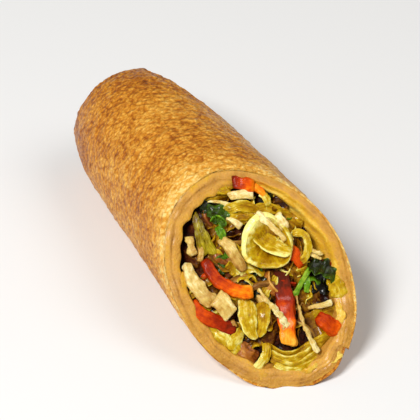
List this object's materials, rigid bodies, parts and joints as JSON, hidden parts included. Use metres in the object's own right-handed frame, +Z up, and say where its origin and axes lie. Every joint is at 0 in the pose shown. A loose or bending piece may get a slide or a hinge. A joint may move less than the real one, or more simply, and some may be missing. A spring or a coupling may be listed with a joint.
{
  "type": "fried spring roll half",
  "caption": "Half of a fried vegetable spring roll, cut on the bias, lying on its side: a layered golden wrapper round shredded carrot, cabbage and greens.",
  "frame": {"origin": "bottom centre of the piece's box, on the surface that it lies on", "axes": "+Z up; +Y along the roll from the bias cut towards the closed end; +X to the right when looking at the cut"},
  "size_m": [0.0388, 0.088, 0.0348],
  "materials": {
    "fried_pastry": "deep-fried wheat pastry, golden brown, blistered and slightly oily",
    "shredded_filling": "moist cooked shredded vegetables",
    "carrot": "moist cooked carrot",
    "cabbage": "moist, slightly translucent cooked cabbage leaf",
    "cabbage_rib": "moist pale cabbage rib",
    "leafy_greens": "moist dark green leaf and stalk"
  },
  "bodies": {
    "root": {"wrapper": "fried_pastry", "filling": "shredded_filling", "carrot_bent": "carrot", "carrot_long": "carrot", "carrot_low": "carrot", "carrot_top": "carrot", "carrot_dice": "carrot", "cabbage_cup": "cabbage", "cabbage_fold": "cabbage", "cabbage_curl": "cabbage", "rib_slice": "cabbage_rib", "rib_dice": "cabbage_rib", "rib_strip": "cabbage_rib", "green_stalk": "leafy_greens", "green_leaf": "leafy_greens"}
  },
  "joints": []
}
